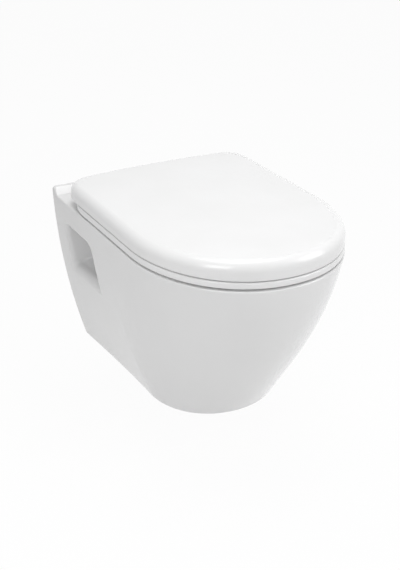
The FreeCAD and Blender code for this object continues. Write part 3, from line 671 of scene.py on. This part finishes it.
def makeLid():
    base, edge, wall, lip = lidForm["bottom"], lidForm["edge"], lidForm["wall"], lidForm["lip"]
    rim = lidForm["height"] - lidForm["crown"]

    def outline(z, inset):
        return seatOutline(lidForm, z, inset)

    def over(start, inset, e, top, arch):
        # rings from an upright wall over a rounded edge to the top
        rings = []
        for a in spread(0, pi / 2, 12)[1:]:
            ring = outline(0, inset + e * (1 - cos(a)))
            rings.append([(x, y, mix(start, top + crownAt(x) * arch, sin(a))) for x, y, _ in ring])
        return rings
    outside = [outline(base, wall), outline(base, lip)]
    outside += [outline(base + up, inward) for up, inward in roundOff(lip, 4)[1:]]
    outside += [outline(z, 0) for z in spread(base + lip, rim - edge, 4)[1:]]
    outside += over(rim - edge, 0, edge, rim, 1)
    roof, bevel = axis["z"] + seat["eye"] + lidForm["relief"], lidForm["bevel"]
    inside = [outline(base, wall), outline(roof - bevel, wall)]
    inside += over(roof - bevel, wall, bevel, roof, 0)
    made = Surface()
    x0, y0 = 0.0, -lidForm["centre"]
    for rings, level, arch in ((outside, rim, 1), (inside, roof, 0)):
        tops = []
        for t in spread(0, 1, 14)[1:-1]:
            ring = [(mix(x, x0, t), mix(y, y0, t)) for x, y, _ in rings[-1]]
            tops.append([(x, y, level + crownAt(x) * arch) for x, y in ring])
        made.loops(rings + tops)
        made.fan(tops[-1], (x0, y0, level + lidForm["crown"] * arch))
    cover = made.piece("lidCover")
    middle, width, (inner, outer) = back["hingeX"], seat["lugWidth"], lidForm["windowSides"]
    x0 = middle - seat["barrel"] / 2 - seat["sideGap"] - width - inner
    x1 = middle + seat["barrel"] / 2 + seat["sideGap"]
    y, z, e, root = axis["y"], axis["z"], seat["eye"], axis["y"] - lidForm["lugRoot"]
    step, top, room = lidForm["barStep"], roof + lidForm["barSink"], lidForm["windowRoom"]
    bar = [(y - e, z), (y + e, z), (y + e, roof - step), (y + step, top), (root, top),
           (root, roof - lidForm["barHeel"])]
    for side in (-1, 1):
        low, high = sorted((side * x0, side * (x1 + width + outer)))
        combine(cover, [block("window", (low, y - e - room, base - room), (high, 0, roof))])
        eyes(cover, bar, x1, side)
    foot, top = base + lidForm["padHeight"], roof + lidForm["bossSink"]
    for across, along in lidForm["pads"]:
        for x in (-across, across):
            boss = cylinder("boss", lidForm["bossRadius"], (x, -along, foot), (x, -along, top), 40)
            combine(cover, [boss], "UNION")
    return cover


ringPiece = makeRing()
finishShading(ringPiece)
print("stage: seat ring", len(ringPiece.data.polygons))
lidPiece = makeLid()
finishShading(lidPiece)
print("stage: lid", len(lidPiece.data.polygons))


# materials
def newMaterial(name):
    made = bpy.data.materials.new(name)
    made.use_nodes = True
    tree = made.node_tree
    place = addNode(tree, "ShaderNodeTexCoord").outputs["Object"]
    return made, tree, tree.nodes["Principled BSDF"], place


def addNode(tree, kind, inputs=(), **settings):
    node = tree.nodes.new(kind)
    for key, value in settings.items():
        setattr(node, key, value)
    for socket, value in dict(inputs).items():
        if isinstance(value, bpy.types.NodeSocket):
            tree.links.new(value, node.inputs[socket])
        else:
            node.inputs[socket].default_value = value
    return node


def tintedNoise(tree, place, scale, low, high, detail=3.0):
    noise = addNode(tree, "ShaderNodeTexNoise", {"Vector": place, "Scale": scale, "Detail": detail})
    ramp = addNode(tree, "ShaderNodeValToRGB", {"Fac": noise.outputs["Fac"]})
    for stop, colour, at in zip(ramp.color_ramp.elements, (low, high), (0.35, 0.65)):
        stop.color, stop.position = (*colour, 1), at
    return noise, ramp


def mathNode(tree, operation, *values):
    return addNode(tree, "ShaderNodeMath", dict(enumerate(values)), operation=operation).outputs[0]


def finishShader(tree, shader, tint, noise, gloss, grain, depth):
    # the tint gives the colour, the noise an uneven gloss, the grain a faint unevenness of the surface
    rough = addNode(tree, "ShaderNodeMapRange",
                    {"Value": noise.outputs["Fac"], "To Min": gloss[0], "To Max": gloss[1]})
    bump = addNode(tree, "ShaderNodeBump",
                   {"Height": grain.outputs["Fac"], "Distance": depth, "Strength": 1.0})
    tree.links.new(tint.outputs["Color"], shader.inputs["Base Color"])
    tree.links.new(rough.outputs["Result"], shader.inputs["Roughness"])
    tree.links.new(bump.outputs["Normal"], shader.inputs["Normal"])


def mouldedMaterial(name, low, high, rough, uneven, grain, depth, tintScale=9.0, specular=0.5):
    # plastic, rubber and glaze: two near tints
    made, tree, shader, place = newMaterial(name)
    noise, ramp = tintedNoise(tree, place, tintScale, low, high)
    fine = addNode(tree, "ShaderNodeTexNoise", {"Vector": place, "Scale": grain, "Detail": 2.0})
    finishShader(tree, shader, ramp, noise, (rough, rough + uneven), fine, depth)
    shader.inputs["Specular IOR Level"].default_value = specular
    return made


steel = {"stretch": (40.0, 900.0, 900.0), "low": (0.50, 0.50, 0.51), "high": (0.66, 0.66, 0.67),
         "gloss": (0.22, 0.4), "depth": 0.00003}


def steelMaterial():
    made, tree, shader, place = newMaterial("satinSteel")
    stretched = addNode(tree, "ShaderNodeMapping", {"Vector": place, "Scale": steel["stretch"]})
    grain, ramp = tintedNoise(tree, stretched.outputs["Vector"], 1.0, steel["low"], steel["high"])
    finishShader(tree, shader, ramp, grain, steel["gloss"], grain, steel["depth"])
    shader.inputs["Metallic"].default_value = 1.0
    return made


biscuit = {"low": (0.62, 0.58, 0.52), "high": (0.72, 0.69, 0.64), "scale": 240.0, "rough": 0.8,
           "wobble": 60.0, "wander": 0.0016, "start": -0.0004, "full": 0.0002}


def glazeMaterial():
    # white glaze, bare ceramic on the ground edge that touches the wall
    made = mouldedMaterial("whiteGlaze", (0.80, 0.80, 0.80), (0.82, 0.82, 0.822), rough=0.06, uneven=0.05,
                           grain=55.0, depth=0.00006, tintScale=4.0)
    tree = made.node_tree
    shader = tree.nodes["Principled BSDF"]
    place = tree.nodes["Texture Coordinate"].outputs["Object"]
    split = addNode(tree, "ShaderNodeSeparateXYZ", {"Vector": place})
    wobble = addNode(tree, "ShaderNodeTexNoise", {"Vector": place, "Scale": biscuit["wobble"]})
    edge = mathNode(tree, "MULTIPLY_ADD", wobble.outputs["Fac"], biscuit["wander"], split.outputs["Y"])
    limits = {"Value": edge, "From Min": biscuit["start"], "From Max": biscuit["full"]}
    bare = addNode(tree, "ShaderNodeMapRange", limits).outputs["Result"]
    tint = tintedNoise(tree, place, biscuit["scale"], biscuit["low"], biscuit["high"])[1].outputs["Color"]
    glazed = shader.inputs["Base Color"].links[0].from_socket
    colour = addNode(tree, "ShaderNodeMix", {0: bare, 6: glazed, 7: tint}, data_type="RGBA")
    tree.links.new(colour.outputs[2], shader.inputs["Base Color"])
    gloss = shader.inputs["Roughness"].links[0].from_socket
    rough = addNode(tree, "ShaderNodeMix", {0: bare, 2: gloss, 3: biscuit["rough"]}, data_type="FLOAT")
    tree.links.new(rough.outputs[0], shader.inputs["Roughness"])
    return made


finishes = {
    "vitreous_china": glazeMaterial(),
    "seat_plastic": mouldedMaterial("seatPlastic", (0.83, 0.83, 0.83), (0.85, 0.85, 0.852),
                                    rough=0.13, uneven=0.06, grain=300.0, depth=0.00001),
    "buffer_rubber": mouldedMaterial("paleRubber", (0.52, 0.52, 0.51), (0.58, 0.58, 0.57), rough=0.55,
                                     uneven=0.15, grain=1500.0, depth=0.00005, tintScale=40.0, specular=0.3),
    "nylon": mouldedMaterial("whiteNylon", (0.64, 0.64, 0.61), (0.70, 0.70, 0.67), rough=0.4,
                             uneven=0.15, grain=900.0, depth=0.00004, tintScale=30.0, specular=0.4),
    "stainless_steel": steelMaterial(),
    "cap_plastic": mouldedMaterial("capPlastic", (0.76, 0.76, 0.76), (0.80, 0.80, 0.80),
                                   rough=0.2, uneven=0.1, grain=500.0, depth=0.00002)}


def wear(obj, slotName):
    obj.data.materials.clear()
    obj.data.materials.append(finishes[slotName])


def dress(piece, body, slotName, *stoodFor):
    wear(piece, slotName)
    piece.data.polygons.foreach_set("material_index", [0] * len(piece.data.polygons))
    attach(piece, body)
    if stoodFor:
        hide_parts(*stoodFor)


dress(panPiece, "pan_body", "vitreous_china", "pan")
dress(ringPiece, "seat", "seat_plastic", "seat_ring")
dress(lidPiece, "cover", "seat_plastic", "lid")


# small parts that repeat: one form, copied to its places by Geometry Nodes
def geometryTree(name, floats, counts):
    tree = bpy.data.node_groups.new(name, "GeometryNodeTree")
    sockets = [("Geometry", "Geometry"), *((label, "Float") for label in floats),
               *((label, "Int") for label in counts), ("Material", "Material")]
    for label, kind in sockets:
        tree.interface.new_socket(label, in_out="INPUT", socket_type="NodeSocket" + kind)
    tree.interface.new_socket("Geometry", in_out="OUTPUT", socket_type="NodeSocketGeometry")
    return tree, addNode(tree, "NodeGroupInput").outputs


def endTree(tree, geometry, material):
    real = addNode(tree, "GeometryNodeRealizeInstances", {"Geometry": geometry})
    dressed = addNode(tree, "GeometryNodeSetMaterial", {"Geometry": real.outputs[0], "Material": material})
    addNode(tree, "NodeGroupOutput", {"Geometry": dressed.outputs[0]})
    return tree


def copiesTree():
    # copies in pairs, left and right of the middle, with room for a second pair further forward
    labels = ("Half Spacing", "Reach", "Height", "Second Half Spacing", "Second Reach")
    tree, given = geometryTree("mirroredCopies", labels, ("Second Count",))
    places = addNode(tree, "GeometryNodeJoinGeometry")

    def times(label, factor):
        return mathNode(tree, "MULTIPLY", given[label], factor)
    for half, reach, count in ((*labels[:2], 2), (*labels[3:], given["Second Count"])):
        start = addNode(tree, "ShaderNodeCombineXYZ",
                        {"X": times(half, -1.0), "Y": times(reach, -1.0), "Z": given["Height"]})
        step = addNode(tree, "ShaderNodeCombineXYZ", {"X": times(half, 2.0)})
        line = addNode(tree, "GeometryNodeMeshLine",
                       {"Count": count, "Start Location": start.outputs[0], "Offset": step.outputs[0]})
        tree.links.new(line.outputs[0], places.inputs[0])
    copies = addNode(tree, "GeometryNodeInstanceOnPoints",
                     {"Points": places.outputs[0], "Instance": given["Geometry"]})
    return endTree(tree, copies.outputs[0], given["Material"])


def threadTree():
    # a rod whose radius follows the thread: a triangle wave along the axis that turns with the angle
    tree, given = geometryTree("threadedRod", ("Radius", "Length", "Pitch", "Depth"), ("Sides", "Rows"))

    def work(operation, *values):
        return mathNode(tree, operation, *values)
    rod = addNode(tree, "GeometryNodeMeshCylinder",
                  {"Vertices": given["Sides"], "Side Segments": given["Rows"], "Radius": 1.0,
                   "Depth": given["Length"]})
    position = addNode(tree, "GeometryNodeInputPosition").outputs[0]
    x, y, z = addNode(tree, "ShaderNodeSeparateXYZ", {"Vector": position}).outputs
    turn = work("DIVIDE", work("ARCTAN2", y, x), pi)
    rise = work("DIVIDE", z, work("MULTIPLY", given["Pitch"], 0.5))
    wave = work("PINGPONG", work("SUBTRACT", rise, turn), 1.0)
    radius = work("SUBTRACT", given["Radius"], work("MULTIPLY", wave, given["Depth"]))
    spot = addNode(tree, "ShaderNodeCombineXYZ",
                   {"X": work("MULTIPLY", x, radius), "Y": work("MULTIPLY", y, radius), "Z": z})
    cut = addNode(tree, "GeometryNodeSetPosition",
                  {"Geometry": rod.outputs["Mesh"], "Position": spot.outputs[0]})
    return endTree(tree, cut.outputs[0], given["Material"])


def runTree(obj, tree, lengths, others):
    # lengths are given in millimetres
    values = {label: length / 1000 for label, length in lengths.items()} | others
    modifier = obj.modifiers.new(tree.name, "NODES")
    modifier.node_group = tree
    for item in tree.interface.items_tree:
        if item.in_out == "INPUT" and item.name in values:
            modifier[item.identifier] = values[item.name]
    bake(obj)


def turned(name, profile, outwards=False, count=40):
    # (radius, height) pairs turned about Z, or about Y where the height runs out from the wall
    def stand(x, y, height):
        return (x, -height, y) if outwards else (x, y, height)
    rings = [[stand(radius * cos(a), radius * sin(a), height) for a in around(count)]
             for radius, height in profile]
    made = Surface()
    made.loops([ring for ring, (radius, _) in zip(rings, profile) if radius > 0])
    for end, beside in ((0, 1), (-1, -2)):
        radius, height = profile[end]
        if radius == 0:
            made.fan(rings[beside], stand(0, 0, height))
    return made.piece(name)


def arc(radius, height, r, start, end, steps=5):
    # part of a small circle as (radius, height) pairs, angles in degrees from the outward side
    return [(radius + r * cos(radians(a)), height + r * sin(radians(a)))
            for a in spread(start, end, steps)]


def ringProfile(inner, outer, low, high, r):
    # the section of a washer with softened edges, closed on itself
    line = []
    for radius, height, start in ((outer - r, low + r, -90), (outer - r, high - r, 0),
                                  (inner + r, high - r, 90), (inner + r, low + r, 180)):
        line += arc(radius, height, r, start, start + 90, 3)
    return line + line[:1]


fixing = {"bore": 6.5, "washer": 14.0, "flange": (58.0, 60.5), "flangeLow": 0.5, "flangeHigh": 0.8,
          "washerTo": 63.0, "washerRound": 0.6, "cap": 13.2, "capWall": 1.2, "capEnd": 90.0,
          "capRound": 6.0, "capLip": 0.3}
hinge = {"gasket": (4.3, 13.0, 0.0, 1.0, 0.3), "stud": 4.0, "studTop": 3.5, "studEnd": -44.0,
         "pitch": 1.25, "depth": 0.65, "sides": 20, "rows": 152}
wing = {"hub": 8.0, "top": -22.0, "end": -31.0, "bore": 4.1, "bevel": 0.6, "topBevel": 0.5, "hubIn": 2.0,
        "hubRound": 1.4, "span": 13.5, "half": 1.5, "wingTop": -24.0, "wingEnd": -33.0, "tip": 3.5,
        "tipDrop": 2.6, "slope": 1.2, "tipThin": 0.5, "room": (1.5, 2.0)}
pads = {"seat": (6.0, 0.3, 7.3), "lid": (5.0, 14.1, 18.1), "face": ((0.45, 0.1), (0.72, 0.35)),
        "round": 1.4, "roundAt": 2.0, "roundFrom": -70}
copies, thread = copiesTree(), threadTree()


def pairOf(obj, slotName, half, reach, height=0.0, second=None):
    lengths = {"Half Spacing": half, "Reach": reach, "Height": height}
    if second:
        lengths["Second Half Spacing"], lengths["Second Reach"] = second
    runTree(obj, copies, lengths, {"Second Count": 2 if second else 0, "Material": finishes[slotName]})
    finishShading(obj)
    return obj


def dressPair(obj, slotName, place, *stoodFor):
    dress(pairOf(obj, slotName, *place), "pan_body", slotName, *stoodFor)


def padForm(name, radius, low, high):
    # a rubber pad with a soft round face below
    r = pads["round"]
    line = [(0, low)] + [(radius * share, low + rise) for share, rise in pads["face"]]
    line += arc(radius - r, low + pads["roundAt"], r, pads["roundFrom"], 0)
    return turned(name, line + [(radius, high), (0, high)])


def sleeveProfile():
    bore, washer, (low, high) = fixing["bore"], fixing["washer"], fixing["flange"]
    lip, r = fixing["flangeLow"], fixing["flangeHigh"]
    line = [(bore, 0.0), (back["sleeve"], 0.0), (back["sleeve"], low)]
    line += arc(washer - lip, low + lip, lip, -90, 0, 3) + arc(washer - r, high - r, r, 0, 90, 3)
    return line + [(bore, high), (bore, 0.0)]


def capProfile():
    r, wide, far, wall = fixing["capRound"], fixing["cap"], fixing["capEnd"], fixing["capWall"]
    mouth, lip = fixing["washerTo"], fixing["capLip"]
    line = [(0, far - wall)] + arc(wide - r, far - r, r - wall, 90, 0)
    line += [(wide - wall, mouth), (wide - lip, mouth), (wide, mouth + lip)]
    return line + arc(wide - r, far - r, r, 0, 90, 8) + [(0, far)]


def squared(value):
    # a circle's cosine or sine, drawn out towards a square
    return copysign(abs(value) ** 0.5, value)


def wingNut(name):
    top, end, bore, hub, r = wing["top"], wing["end"], wing["bore"], wing["hub"], wing["hubRound"]
    bevel, topBevel = wing["bevel"], wing["topBevel"]
    line = [(bore, end + bevel), (bore + bevel, end)] + arc(hub - wing["hubIn"], end + r, r, -90, 0)
    line += [(hub, top - topBevel), (hub - topBevel, top), (bore + bevel, top), (bore, top - bevel)]
    nut = turned(name, line + [line[0]])
    high, low, span = wing["wingTop"], wing["wingEnd"], wing["span"]
    middle, rings = (high + low) / 2, []
    for x in spread(-span, span, 20):
        tip = 1 - min(1.0, (span - abs(x)) / wing["tip"])
        curve = 1 - sqrt(1 - tip ** 2)
        reach = (high - low) / 2 - (wing["tipDrop"] * curve + wing["slope"] * (1 - abs(x) / span))
        thin = wing["half"] - wing["tipThin"] * curve
        rings.append([(x, thin * squared(cos(a)), middle + reach * squared(sin(a)))
                      for a in around(24)])
    wings = stack("wings", rings)
    wide, long = wing["room"]
    combine(wings, [cylinder("bore", bore + wide, (0, 0, low - long), (0, 0, high + long), 40)])
    combine(nut, [wings], "UNION")
    return nut


wallAt = (back["studX"], 0.0, back["studZ"])
hingeAt = (back["hingeX"], -back["hingeY"])
dressPair(turned("wallSleeves", sleeveProfile(), True), "nylon", wallAt,
          "wall_sleeve_left", "wall_sleeve_right")
washerLine = ringProfile(fixing["bore"], fixing["washer"], fixing["flange"][1], fixing["washerTo"],
                         fixing["washerRound"])
dressPair(turned("wallWashers", washerLine, True), "nylon", wallAt, "wall_washer_left", "wall_washer_right")
dressPair(turned("nutCaps", capProfile(), True), "cap_plastic", wallAt, "nut_cap_left", "nut_cap_right")
dressPair(turned("hingeGaskets", ringProfile(*hinge["gasket"])), "buffer_rubber", hingeAt,
          "hinge_gasket_left", "hinge_gasket_right")
dressPair(wingNut("wingNuts"), "nylon", hingeAt, "wing_nut_left", "wing_nut_right")
studs = addObject("hingeStuds", bpy.data.meshes.new("hingeStuds"))
studTop, studEnd = hinge["studTop"], hinge["studEnd"]
runTree(studs, thread, {"Radius": hinge["stud"], "Length": studTop - studEnd, "Pitch": hinge["pitch"],
                        "Depth": hinge["depth"]},
        {"Sides": hinge["sides"], "Rows": hinge["rows"], "Material": finishes["stainless_steel"]})
dressPair(studs, "stainless_steel", (*hingeAt, rimAboveOrigin + (studTop + studEnd) / 2),
          "hinge_stud_left", "hinge_stud_right")
for name, sizes, spots, body, node in (
        ("seatPads", pads["seat"], seat["pads"], "seat", "seat_buffers"),
        ("lidPads", pads["lid"], lidForm["pads"], "cover", "lid_buffers")):
    pad = pairOf(padForm(name, *sizes), "buffer_rubber", *spots[0], second=spots[1])
    dress(pad, body, "buffer_rubber", node)
print("stage: small parts")

slotOf = {part["node"]: part["material_slot"] for part in frame["record"]["subparts"]}
for name, node in frame["nodes"].items():
    if not node.hide_render:
        wear(node, slotOf[name])
print("stage: materials")

# floor, light and camera

stageLight = {"world": 0.36, "top": 26.0, "right": 15.5, "near": 2.5, "floorHeight": -0.32,
              "floorHalf": 6.0, "floorWhite": 0.95}


def whiteToCamera(tree, lit, white, share):
    # camera, glossy and transmission rays see white, everything else the lit shader
    rays = addNode(tree, "ShaderNodeLightPath").outputs
    seen = mathNode(tree, "MAXIMUM", rays["Is Camera Ray"], rays["Is Glossy Ray"])
    seen = mathNode(tree, "MAXIMUM", seen, rays["Is Transmission Ray"])
    part = mathNode(tree, "MULTIPLY", seen, share)
    return addNode(tree, "ShaderNodeMixShader", {0: part, 1: lit, 2: white})


world = bpy.data.worlds.new("studio")
bpy.context.scene.world = world
world.use_nodes = True
tree = world.node_tree
tree.nodes.clear()
lit = addNode(tree, "ShaderNodeBackground", {"Color": (1, 1, 1, 1), "Strength": stageLight["world"]})
white = addNode(tree, "ShaderNodeBackground", {"Color": (1, 1, 1, 1), "Strength": 1.0})
mixed = whiteToCamera(tree, lit.outputs[0], white.outputs[0], 1.0)
out = addNode(tree, "ShaderNodeOutputWorld", {"Surface": mixed.outputs[0]})

size, level = stageLight["floorHalf"], stageLight["floorHeight"]
floorMesh = bpy.data.meshes.new("floor")
corners = ((-size, -size), (size, -size), (size, size), (-size, size))
floorMesh.from_pydata([(x, y, level) for x, y in corners], [], [(0, 1, 2, 3)])
floor = addObject("floor", floorMesh)
paper, tree, shader, place = newMaterial("palePaper")
tree.nodes.remove(shader)
tone = tintedNoise(tree, place, 6.0, (0.86, 0.86, 0.86), (0.9, 0.9, 0.9))[1]
diffuse = addNode(tree, "ShaderNodeBsdfDiffuse", {"Color": tone.outputs["Color"]})
glow = addNode(tree, "ShaderNodeEmission", {"Color": (1, 1, 1, 1), "Strength": 1.0})
mixed = whiteToCamera(tree, diffuse.outputs[0], glow.outputs[0], stageLight["floorWhite"])
tree.links.new(mixed.outputs[0], tree.nodes["Material Output"].inputs["Surface"])
floorMesh.materials.append(paper)


def areaLight(name, place, target, size, power):
    data = bpy.data.lights.new(name, "AREA")
    data.shape, data.size, data.energy = "SQUARE", size, power
    lamp = addObject(name, data)
    lamp.location = place
    lamp.rotation_euler = (Vector(target) - Vector(place)).to_track_quat("-Z", "Y").to_euler()


middle = (0.0, -0.27, 0.0)
areaLight("topSoftbox", (0.0, -0.3, 2.2), middle, 1.5, stageLight["top"])
areaLight("rightSoftbox", (1.5, -1.6, 0.9), middle, 1.2, stageLight["right"])
areaLight("nearPanel", (-0.75, -0.9, 0.5), (-0.1, -0.42, -0.05), 0.4, stageLight["near"])

view = {"place": (-0.7602, -1.6251, 0.7378), "tilt": 63.64, "turn": -28.61, "lens": 63.57, "sensor": 36.0,
        "clip": (0.05, 50.0)}
cameraData = bpy.data.cameras.new("camera")
cameraData.lens, cameraData.sensor_width = view["lens"], view["sensor"]
cameraData.clip_start, cameraData.clip_end = view["clip"]
camera = addObject("camera", cameraData)
camera.location = view["place"]
camera.rotation_euler = (radians(view["tilt"]), 0.0, radians(view["turn"]))
bpy.context.scene.camera = camera
bpy.context.scene.view_settings.view_transform = "Standard"
print("stage: light and camera")
